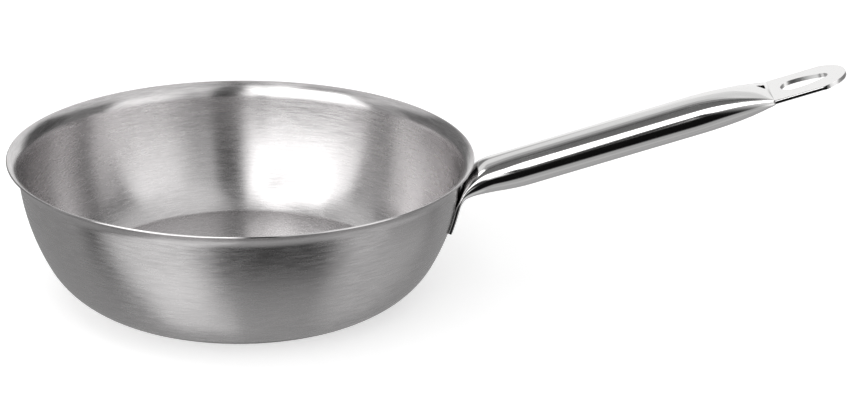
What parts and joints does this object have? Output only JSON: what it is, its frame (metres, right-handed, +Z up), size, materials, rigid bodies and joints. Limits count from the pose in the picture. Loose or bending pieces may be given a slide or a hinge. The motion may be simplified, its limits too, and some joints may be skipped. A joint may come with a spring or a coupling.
{
  "type": "saucier pan",
  "caption": "Open saucier pan: a brushed steel bowl with a curved wall, a flared pouring lip and a sandwich base, held by a polished tube handle pressed flat at both ends.",
  "frame": {"origin": "centre of the flat underside, on the bowl's axis", "axes": "+Z up along the bowl's axis, +X along the handle, away from the bowl"},
  "size_m": [0.4419, 0.2498, 0.1374],
  "materials": {
    "bowl_steel": "stainless, brushed round the bowl",
    "core_aluminium": "plain, closed in by the cap",
    "base_steel": "magnetic stainless, brushed in rings",
    "handle_steel": "stainless, mirror polished"
  },
  "bodies": {
    "root": {"bowl": "bowl_steel", "heat_disc": "core_aluminium", "base_cap": "base_steel", "handle": "handle_steel"}
  },
  "joints": []
}
